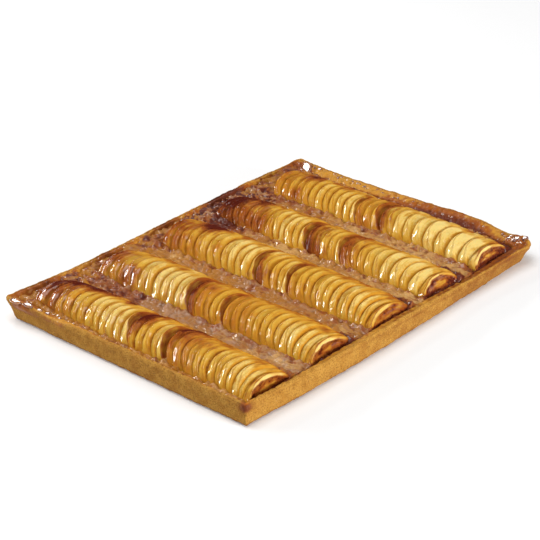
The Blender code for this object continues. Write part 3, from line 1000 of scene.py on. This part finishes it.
class Bed:
    """The compote's surface on a grid over its plan, and where that lies to the rows and walls."""

    def __init__(self):
        low = np.array((-LENGTH / 2 + WALL_FOOT["front_left"], -WIDTH / 2 + WALL_FOOT["front_right"]))
        high = np.array((LENGTH / 2 - WALL_FOOT["back_right"], WIDTH / 2 - WALL_FOOT["back_left"]))
        counts = np.round((high - low) / COMPOTE_PITCH).astype(int)
        xs = np.linspace(low[0] - WALL_OVERLAP, high[0] + WALL_OVERLAP, counts[0])
        ys = np.linspace(low[1] - WALL_OVERLAP, high[1] + END_REACH, counts[1])
        self.x, self.y = x, y = np.meshgrid(xs, ys, indexing="ij")
        self.flat = np.stack((x, y, np.zeros_like(x)), -1)
        self.to_front_left = x - xs[0]
        self.to_front_right = y - ys[0]
        self.to_back_left = ys[-1] - y
        walls = (self.to_front_left, self.to_front_right, self.to_back_left, xs[-1] - x)
        self.to_wall = np.minimum.reduce(walls)
        self.near_feet = [x - centre + half for centre, half in ROWS]
        self.far_feet = [x - centre - half + FAR_FOOT_INSET for centre, half in ROWS]
        self.end = smooth(END_START, END_FULL, y)
        self.burnt_end = smooth(88.0, 106.0, y) * smooth(-10.0, 20.0, x) * smooth(125.0, 105.0, x)
        self.curls = smooth(0.35, 0.0, np.abs(field(self.flat, "curls")))

    def level(self):
        """Height of the surface: lumps, the risen back end, and the climbs at slices and walls."""
        x, flat = self.x, self.flat
        level = COMPOTE_LEVEL + strip_share(x) * STRIP_RISE * (STRIP_EVENNESS + field(flat, "strips"))
        shares = self.to_front_left[:, 0] / self.to_front_left[-1, 0]
        edge = np.array([along(COMPOTE_EDGE_HEIGHTS, share) for share in shares])[:, None]
        fading = np.clip(1.0 - self.to_front_right / COMPOTE_EDGE_WIDTH, 0.0, 1.0)
        level -= (COMPOTE_LEVEL - edge) * fading
        level += field(flat, "bed_swell") + field(flat, "bed_lumps")
        level += WRINKLE_HEIGHT * (WRINKLE_LEVEL - np.abs(field(flat, "wrinkles")))
        level += KNOB_HEIGHT * smooth(0.1, 0.5, field(flat, "knobs"))
        in_row = sum(smooth(half + 6.0, half - 6.0, np.abs(x - centre)) for centre, half in ROWS)
        rise = END_RISE * mix(STRIP_END_SHARE, 1.0, in_row) + field(flat, "end_lumps")
        level += self.end * rise * mix(GROOVE_SHARE, 1.0, smooth(0.0, END_GROOVE, self.to_back_left))
        curled = END_CURLS * self.end + BURNT_CURLS * self.burnt_end
        level += curled * (self.curls - CURL_LEVEL)
        level += WALL_CLIMB * np.exp(-self.to_wall / WALL_CLIMB_LENGTH)
        near_climb = NEAR_MENISCUS * (1.0 + field(flat, "near_feet"))
        far_climb = FAR_MENISCUS * (1.0 + field(flat, "far_feet"))
        level += near_climb * sum(bell(gap, MENISCUS_WIDTH) for gap in self.near_feet)
        level += far_climb * sum(bell(gap, FAR_MENISCUS_WIDTH) for gap in self.far_feet)
        for fan, after in zip(FANS, FANS[1:]):
            if fan.row == after.row:
                level += fan_gap(fan, after, x, self.y)
        return np.where(self.y > END_FULL - 2.0, np.minimum(level, END_HIGHEST), level)

    def looks(self):
        """How caramelised, how amber and how light the surface is, with painted shade at the slices'
        near feet.
        """
        x, y, flat, end, burnt_end = self.x, self.y, self.flat, self.end, self.burnt_end
        far_melt = sum(bell(gap, 6.0) for gap in self.far_feet)
        caramel_and_shade = 0.25 + field(flat, "caramel_and_shade") + 0.3 * np.exp(-self.to_wall / 5.0)
        caramel_and_shade -= 0.7 * np.exp(-self.to_front_left / 8.0)
        caramel_and_shade += end * (0.1 + field(flat, "end_caramel")) + burnt_end * (1.0 - 1.6 * self.curls)
        # The first term is painted shade at each row's near feet, over some caramelised glaze
        caramel_and_shade += 0.3 * sum(bell(gap, 4.0) for gap in self.near_feet) - 0.2 * far_melt
        cheek = smooth(CHEEK_START, CHEEK_FULL, y)
        for (centre, half), glaze in zip(ROWS, CHEEK_GLAZE):
            caramel_and_shade += glaze * cheek * smooth(half + 5.0, half - 5.0, np.abs(x - centre - 4.0))
        amber = 0.1 + 0.9 * end - 1.2 * burnt_end + field(flat, "amber") + 0.8 * far_melt
        amber += 0.45 * smooth(-110.0, -50.0, x) + 1.2 * np.exp(-self.to_front_left / 6.0)
        light = 0.45 * smooth(40.0, -50.0, y) * mix(1.0, 0.45, bell(x + 41.0, 22.0))
        light += field(flat, "light") + 0.3 * smooth(0.0, 60.0, x) * smooth(60.0, 30.0, y) - end
        caramel_and_shade += sum_of_spots(flat, COMPOTE_SPOTS)
        light += sum_of_spots(flat, COMPOTE_LIGHTS)
        return {"caramel_and_shade": caramel_and_shade, "amber": amber, "light": light}


def make_compote(material):
    """The bed: lumpy between the rows, and drawn up a little where it meets slices and wall."""
    bed = Bed()
    rows, columns = bed.x.shape
    top = np.stack((bed.x, bed.y, bed.level()), -1).reshape(-1, 3)
    grid = np.arange(len(top)).reshape(rows, columns)
    rim = np.concatenate((grid[0], grid[1:, -1], grid[-1, -2::-1], grid[-2:0:-1, 0])).tolist()
    base = top[rim] * (1.0, 1.0, 0.0) + (0.0, 0.0, FLOOR_TOP + TOUCH_GAP)
    low_rim = [len(top) + index for index in range(len(rim))]
    faces = grid_quads(rows, columns)
    faces += zip(rim, rim[1:] + rim[:1], low_rim[1:] + low_rim[:1], low_rim)
    faces.append(tuple(low_rim))
    values = {label: np.pad(numbers.ravel(), (0, len(base))) for label, numbers in bed.looks().items()}
    return new_piece("compote_bed", np.concatenate((top, base)), faces, material, values,
                     "apple_compote")


def fan_slices(fan, draw):
    """Place and size of each slice of a fan, drawn as in the solids."""
    key = fan[:2]
    row_centre, row_half = ROWS[fan.row - 1]
    shares = [index / (fan.count - 1) for index in range(fan.count)]
    growth = FAN_GROWTH.get(key, 1.0)
    last_lean = END_LEAN if fan.place == "right" else LEAN
    crest_places = [mix(fan.first, fan.last, share ** growth) for share in shares]
    steps = [before - after for before, after in zip(crest_places, crest_places[1:])]
    first_turn = math.radians(FIRST_TURNS.get(key, 0.0))
    wetness = FAN_WETNESS.get(key, PLAIN_WETNESS)
    slices = []
    for index, share in enumerate(shares):
        lean = math.radians(mix(LEAN, last_lean, share ** 3))
        rise = along(fan.crests, share) - SLICE_BASE + SLICE_JITTER * draw.uniform(-1.0, 1.0)
        centre = row_centre + SLICE_JITTER * draw.uniform(-1.0, 1.0)
        half = row_half + draw.uniform(*HALF_WIDTH_JITTER)
        dry = index == 0 and fan.place != "left"
        slices.append(SimpleNamespace(
            index=index,
            centre=centre,
            half=half,
            lean=lean,
            rise=rise,
            foot=crest_places[index] - rise / math.tan(lean),
            turn=first_turn * math.exp(-index / TURN_FADE),
            step=steps[max(index - 1, 0)],
            cover=steps[min(index, fan.count - 2)],
            shingle=SHINGLE_STEPS.get(key, SHINGLE_STEP),
            glaze=FAN_GLAZE.get(key, 0.0) * math.exp(-index / GLAZE_FADE),
            tone=mix(*fan.tones, share),
            wet=mix(*wetness, share) - DRY_FIRST * dry,
            open=index == fan.count - 1,
            cheek=CHEEKS[fan.row] if fan.place == "right" else None,
        ))
    return slices


def loosen(slices, draw):
    """Makes the slices of a fan differ a little more than the solids' slices do."""
    turns = [math.tan(cut.turn) for cut in slices]
    for cut, turn, turn_before in zip(slices, turns, turns[:1] + turns):
        step = cut.step + cut.half * (turn_before - turn)
        cut.thick = step * math.sin(cut.lean) + OVERLAP if cut.index else SLICE_THICKNESS
        cut.lean += math.radians(LEAN_JITTER) * draw.uniform(-1.0, 1.0)
        cut.foot += SHIFT_JITTER * draw.uniform(-1.0, 1.0)
        cut.turn += math.radians(TURN_JITTER) * draw.uniform(-1.0, 1.0)
        cut.rise += RISE_JITTER * draw.uniform(-1.0, 1.0)
        cut.gap = draw.uniform(*GAP_SHARES)
        cut.tone += TONE_SPREAD * draw.uniform(-1.0, 1.0)


def slice_profile(turn, reach, cut):
    """Inset from the outline and depth below the upper face, round a slice's edge.

    On the flanks the edge slopes back like a shingle, so that each slice's back edge stands a
    little proud of the slice before it.
    """
    steep = (1.0 - np.sin(turn) ** 0.8)[:, None]
    side = smooth(0.97, 0.75, np.sin(turn)) * np.where(turn < math.pi / 2, 1.0, FAR_SHINGLE)
    wave = np.array([noise.noise((cut.seed * 2.3, t * 3.5, 7.5)) for t in turn])
    shingle = (cut.shingle * side * (1.0 + SHINGLE_WAVE * wave))[:, None]
    gap = cut.gap * bell(turn / math.pi - GAP_TURN, GAP_WIDTH)
    thick = cut.thick * (1.0 - gap)[:, None]
    rounding = mix(CREST_ROUNDING, FLANK_ROUNDING, steep)
    rounding = np.minimum(rounding, LARGEST_ROUNDING * (thick - BACK_ROUNDING))
    none = np.zeros_like(rounding)
    rings = []
    for share in FACE_RINGS:
        start = rounding + shingle
        rings.append((start + share * (reach - start), none))
    for step in range(1, FILLET_STEPS + 1):
        angle = 0.5 * math.pi * step / FILLET_STEPS
        rings.append((rounding * (1.0 - math.sin(angle)) + shingle, rounding * (1.0 - math.cos(angle))))
    for step in range(1, RIM_STEPS + 1):
        share = step / RIM_STEPS
        rings.append((shingle * (1.0 - share ** 1.2), mix(rounding, thick - BACK_ROUNDING, share)))
    for step in range(1, FILLET_STEPS):
        angle = 0.5 * math.pi * step / (FILLET_STEPS - 1)
        back = BACK_ROUNDING * (1.0 - math.cos(angle))
        rings.append((back + none, thick - BACK_ROUNDING * (1.0 - math.sin(angle))))
    rings.append((BACK_ROUNDING + BACK_RING * (reach - BACK_ROUNDING), thick))
    insets, depths = zip(*rings)
    return np.concatenate(insets, 1), np.concatenate(depths, 1), shingle


def slice_form(cut):
    """Points of one slice, as a grid round its arc and round its edge, and what its looks need."""
    turn = np.linspace(0.0, math.pi, ARC_STEPS + 1)
    slope = cut.rise / math.sin(cut.lean)
    swing = 1.0 + RIM_WAVE * np.array([noise.noise((cut.seed * 3.1, t * 1.7, 0.5)) for t in turn])
    across = (-cut.half * np.cos(turn) * swing)[:, None]
    upward = (slope * np.sin(turn) * swing)[:, None]
    reach = np.hypot(across, upward)
    insets, depths, shingle = slice_profile(turn, reach, cut)
    face = (np.arange(insets.shape[1]) < len(FACE_RINGS) + FILLETS_ON_FACE) * np.ones_like(reach)
    keep = 1.0 - insets / reach
    a = across * keep
    b = upward * keep
    inner = np.hypot(a / (HOLLOW_WIDTH * cut.half), b / (HOLLOW_HEIGHT * slope))
    if cut.open:
        depths = depths + HOLLOW_DEPTH * np.sqrt(np.clip(1.0 - inner * inner, 0.0, 1.0)) * face
    b = b * (1.0 + FOOT_SINK / slope) - FOOT_SINK
    cos_lean, sin_lean = math.cos(cut.lean), math.sin(cut.lean)
    points = np.stack((
        cut.centre + a,
        cut.foot + b * cos_lean + depths * sin_lean - a * math.tan(cut.turn),
        SLICE_BASE + b * sin_lean - depths * cos_lean,
    ), -1)
    rise_share = np.clip(b / slope, 0.0, 1.0)
    past_crest = a / cut.half
    nearest = np.hypot(past_crest, (b + cut.cover * cos_lean) / slope) - 1.0
    away = np.maximum(nearest, 0.0) * mix(cut.half, slope, rise_share)
    if cut.open:
        away = away + (CHEEK_CLEARANCE if cut.cheek else OPEN_CLEARANCE)
    fill = NEAR_FILL + CREST_FILL * smooth(-0.8, -0.3, past_crest) + cut.glaze
    fill = fill + FAR_FILL * smooth(-0.15, 0.45, past_crest)
    widening = max(1.0, cut.cover / USUAL_STEP)
    deepest = DEEPEST_FILL * (cut.cover * sin_lean + OVERLAP)
    fill = np.minimum(fill * widening ** 1.5, deepest)
    fill = fill * bell(away, FILL_SPREAD * widening) * (insets > 0.5 * FILL_SPREAD)
    ripple = field(points + (0.0, cut.seed * SEED_STEP, 0.0), "slice_face") + fill
    points = points + np.array((0.0, -sin_lean, cos_lean)) * (ripple * face)[..., None]
    return SimpleNamespace(
        points=points,
        face=face,
        rim=1.0 - face,
        insets=insets,
        from_edge=np.maximum(insets - shingle, 0.0),
        down_rim=depths * (1.0 - face),
        behind=depths.max(1, keepdims=True) - depths - OVERLAP,
        away=away + depths * (1.0 - face),
        inner=inner,
        rise_share=rise_share,
        past_crest=past_crest,
        round=turn[:, None] * cut.half + 0.0 * depths,
    )


def slice_values(cut, form, browning):
    """How creased, baked, burnt, glazed over and wet one slice is, with painted shade in its creases,
    towards its feet and on an open face, and where each point lies round it.

    A fan's browning is how burnt its first slices are, over how many slices, where across the row
    from -1 at the near foot to 1 at the far foot, how far in, how baked, and over how many slices.
    """
    face, rim, rise_share, past_crest = form.face, form.rim, form.rise_share, form.past_crest
    # Crease: amber glaze pooled next to the following slice, and painted shade there and along the
    # contact line at the back edge
    soft = CREASE_SOFTNESS * np.clip(1.0 + 1.6 * cut.tone, 0.4, 1.0)
    crease = soft * np.exp(-form.away / CREASE_REACH)
    crease = crease + (1.0 - CREASE_SOFTNESS) * np.exp(-form.away / CREASE_LINE)
    crease = np.maximum(crease, smooth(0.5, 0.0, form.behind) * rim)
    edge = bell(form.from_edge, EDGE_WIDTH) * bell(form.down_rim, EDGE_DEPTH)
    edge = edge * mix(FOOT_EDGE, 1.0, rise_share) * (1.0 + FAR_EDGES * smooth(0.05, 0.4, past_crest))
    film_and_shade = smooth(0.0, 0.55, past_crest) * (FAR_FILM + field(form.points, "film_and_shade"))
    film_and_shade = film_and_shade * (1.0 + 0.6 * min(cut.tone, 0.0)) + FOOT_FILM * smooth(0.6, 0.0, rise_share)
    burnt, burn_count, burn_side, burn_reach, baked, bake_count = browning
    spread = bell(past_crest - burn_side, BURN_WIDTH) * bell(form.insets, burn_reach)
    burn_and_shade = burnt * bell(cut.index, burn_count) * spread
    # The last term is painted shade, darker towards the feet
    bake_and_shade = baked * bell(cut.index, bake_count) + cut.tone + SLICE_FOOT_SHADE * (1.0 - rise_share) ** 1.3
    for x, y, spot_reach, burnt_more, baked_more in APPLE_SPOTS:
        spot = spot_share(form.points, x, y, spot_reach)
        burn_and_shade = burn_and_shade + burnt_more * spot
        film_and_shade = film_and_shade + min(baked_more, 0.0) * spot
        bake_and_shade = bake_and_shade + baked_more * spot
    damp = cut.wet - DRY_FAR_SIDE * smooth(0.1, 0.45, past_crest)
    if cut.open and cut.cheek:
        ring, middle = cut.cheek
        inner = form.inner * (1.0 + field(form.points, "cheek_ring"))
        hollow = smooth(1.1, 0.8, inner) * face
        burn_and_shade = ring * smooth(1.15, 0.95, inner) * smooth(0.45, 0.85, inner) * face
        burn_and_shade = np.maximum(burn_and_shade, middle * hollow) + field(form.points, "cheek_blotches") * hollow
        burn_and_shade = np.maximum(burn_and_shade, CHEEK_FOOT * smooth(0.32, 0.14, rise_share) * face)
        burn_and_shade = burn_and_shade + CHEEK_RIM * rim * (0.5 + rise_share)
        bake_and_shade = bake_and_shade + CHEEK_BAKE * smooth(1.0, 0.8, inner) * face + CHEEK_RIM_BAKE * rim
        damp = mix(damp, WET_CHEEK, face)
    # An open face in the gap before the next fan gets painted shade: darker, redder and more amber
    elif cut.open:
        bake_and_shade = bake_and_shade + OPEN_FACE_SHADE_TONE * face
        burn_and_shade = burn_and_shade + OPEN_FACE_SHADE_DARK * face
        film_and_shade = film_and_shade + OPEN_FACE_SHADE_AMBER * face
    inward = (form.insets - form.down_rim) * MM
    number = cut.seed * NUMBER_STEP + 0.0 * inward
    values = (crease, edge, bake_and_shade, burn_and_shade, film_and_shade, damp, inward, form.round * MM, number)
    return dict(zip(APPLE_VALUES, values))


def slice_faces(rows, columns, start):
    """Faces of one slice: its skin, its two pointed ends and its sole, with a hub at each end."""
    upper, lower = start + rows * columns, start + rows * columns + 1
    faces = grid_quads(rows, columns, start)
    for row in range(rows - 1):
        here, there = start + row * columns, start + (row + 1) * columns
        faces.append((here, upper, there))
        faces.append((there + columns - 1, lower, here + columns - 1))
    last = start + (rows - 1) * columns
    first_edge = [start + column for column in range(columns)]
    last_edge = [last + column for column in reversed(range(columns))]
    faces.append((upper, *first_edge, lower, *last_edge))
    return faces


def make_fan(fan, number, draw, material):
    """One fan: separate slices that lean on one another like shingles."""
    slices = fan_slices(fan, draw)
    loosen(slices, random.Random(LOOSENING_SEED + number))
    points, faces, values = [], [], {label: [] for label in APPLE_VALUES}
    start = 0
    for cut in slices:
        cut.seed = number * SEEDS_PER_FAN + cut.index
        form = slice_form(cut)
        grid = form.points
        rows, columns = grid.shape[:2]
        hubs = np.stack((grid[(0, -1), 0].mean(0), grid[(0, -1), -1].mean(0)))
        points.append(np.concatenate((grid.reshape(-1, 3), hubs)))
        for label, numbers in slice_values(cut, form, fan.browning).items():
            values[label].append(np.concatenate((numbers.ravel(), numbers[0, (0, -1)])))
        faces += slice_faces(rows, columns, start)
        start += rows * columns + len(hubs)
    joined = {label: np.concatenate(numbers) for label, numbers in values.items()}
    return new_piece("apple_slices_%d_%s" % fan[:2], np.concatenate(points), faces, material,
                     joined, "apple_fan_%d_%s" % fan[:2])


def drop_places():
    """Where each drop and bead lies and faces, and its half width and half length."""
    places = list(GLAZE_DROPS)
    draw = random.Random(BEAD_SEED)
    for count, middle, reaches, facing, sizes in BEADS:
        for _ in range(count):
            spot = [at + draw.uniform(-reach, reach) for at, reach in zip(middle, reaches)]
            places.append((*spot, facing, draw.uniform(*sizes), draw.uniform(*sizes)))
    return places


def make_drops(crust, material):
    """Drops and pools of glaze that have set on the crust's corners and inner walls."""
    carrier = np.array([vertex.co for vertex in crust.data.vertices])
    turns = np.linspace(0.0, 2.0 * math.pi, DROP_SIDES, endpoint=False)
    levels = np.linspace(0.0, math.pi, DROP_RINGS + 2)[1:-1]
    heights = np.sign(np.cos(levels)) * np.abs(np.cos(levels)) ** 0.7
    points, faces, start = [], [], 0
    for x, y, z, facing, wide, deep in drop_places():
        target = np.array((x, y, z)) * MM + SHIFT
        centre = (carrier[((carrier - target) ** 2).sum(-1).argmin()] - SHIFT) / MM
        up = Vector(DROP_FACINGS[facing]).normalized()
        side = Vector(DROP_COURSES.get(facing, USUAL_COURSE)).cross(up).normalized()
        length = up.cross(side)
        rim = [(math.cos(turn) * 1.3, math.sin(turn) * 1.3, x) for turn in turns]
        ragged = np.array([1.0 + DROP_RAG * noise.noise(spot) for spot in rim])
        out = (np.sin(levels) ** 0.6)[:, None] * ragged[None, :]
        pole = DROP_HEIGHT * math.sqrt(min(wide, deep)) * np.array(up)
        grid = centre + (out * np.cos(turns))[..., None] * wide * np.array(side)
        grid = grid + (out * np.sin(turns))[..., None] * deep * np.array(length)
        grid = grid + heights[:, None, None] * pole
        points.append(np.concatenate((grid.reshape(-1, 3), (centre + pole, centre - pole))))
        top = start + DROP_RINGS * DROP_SIDES
        low = top - DROP_SIDES
        for turn in range(DROP_SIDES):
            after = (turn + 1) % DROP_SIDES
            faces.append((top, start + turn, start + after))
            faces.append((low + turn, top + 1, low + after))
            for here in range(start, low, DROP_SIDES):
                there = here + DROP_SIDES
                faces.append((here + turn, there + turn, there + after, here + after))
        start = top + 2
    new_piece("glaze_drops", np.concatenate(points), faces, material, {})


def make_floor():
    """A wide pale floor under the tart, lit a little from below."""
    shader = Shader("floor_look")
    values = {"Base Color": FLOOR_COLOUR, "Roughness": FLOOR_ROUGHNESS,
              "Emission Color": FLOOR_COLOUR, "Emission Strength": FLOOR_GLOW}
    for name, value in values.items():
        shader.feed(shader.surface.inputs[name], value)
    side = FLOOR_SIDE
    plan = ((-side, -side), (side, -side), (side, side), (-side, side))
    mesh = bpy.data.meshes.new("floor")
    mesh.from_pydata([(x, y, -FLOOR_DROP) for x, y in plan], [], [(0, 1, 2, 3)])
    mesh.materials.append(shader.material)
    floor = bpy.data.objects.new("floor", mesh)
    bpy.context.scene.collection.objects.link(floor)


def make_lights():
    """Soft boxes that look at the tart from their directions, and a pale surround."""
    for name, direction, distance, size, energy in SOFT_BOXES:
        light = bpy.data.lights.new(name, "AREA")
        light.shape = "RECTANGLE"
        light.size, light.size_y = size
        light.energy = energy
        lamp = bpy.data.objects.new(name, light)
        way = Vector(direction).normalized()
        lamp.location = way * distance
        lamp.rotation_mode = "QUATERNION"
        lamp.rotation_quaternion = way.to_track_quat("Z", "Y")
        bpy.context.scene.collection.objects.link(lamp)
    world = bpy.data.worlds.new("studio")
    world.use_nodes = True
    world.node_tree.nodes["Background"].inputs["Color"].default_value = (1.0, 1.0, 1.0, 1.0)
    world.node_tree.nodes["Background"].inputs["Strength"].default_value = SURROUND
    bpy.context.scene.world = world
    bpy.context.scene.view_settings.view_transform = "Standard"


def make_camera():
    """The photograph's viewpoint: a long lens above the tart's front corner."""
    azimuth, elevation, roll = CAMERA_ANGLES
    level_right = Vector((math.sin(azimuth), -math.cos(azimuth), 0.0))
    back = Vector((-math.cos(azimuth) * math.cos(elevation),
                   -math.sin(azimuth) * math.cos(elevation), math.sin(elevation)))
    level_up = back.cross(level_right)
    right = math.cos(roll) * level_right + math.sin(roll) * level_up
    up = math.cos(roll) * level_up - math.sin(roll) * level_right
    side, rise = CAMERA_OFFSET
    place = Vector(CAMERA_AIM) - side * right - rise * up + CAMERA_DISTANCE * back
    camera = bpy.data.objects.new("camera", bpy.data.cameras.new("camera"))
    camera.data.sensor_width = SENSOR
    camera.data.lens = FOCAL_SHARE * SENSOR
    camera.data.clip_start = CAMERA_NEAR
    camera.data.clip_end = CAMERA_FAR
    turn = Matrix((right, up, back)).transposed().to_4x4()
    camera.matrix_world = Matrix.Translation(place * MM + Vector(SHIFT)) @ turn
    bpy.context.scene.collection.objects.link(camera)
    bpy.context.scene.camera = camera


def main():
    crust = make_crust(crust_material())
    make_compote(compote_material())
    make_drops(crust, drop_material())
    apple = apple_material()
    draw = random.Random(FAN_SEED)
    for number, fan in enumerate(FANS):
        make_fan(fan, number, draw, apple)
    make_floor()
    make_lights()
    make_camera()


main()
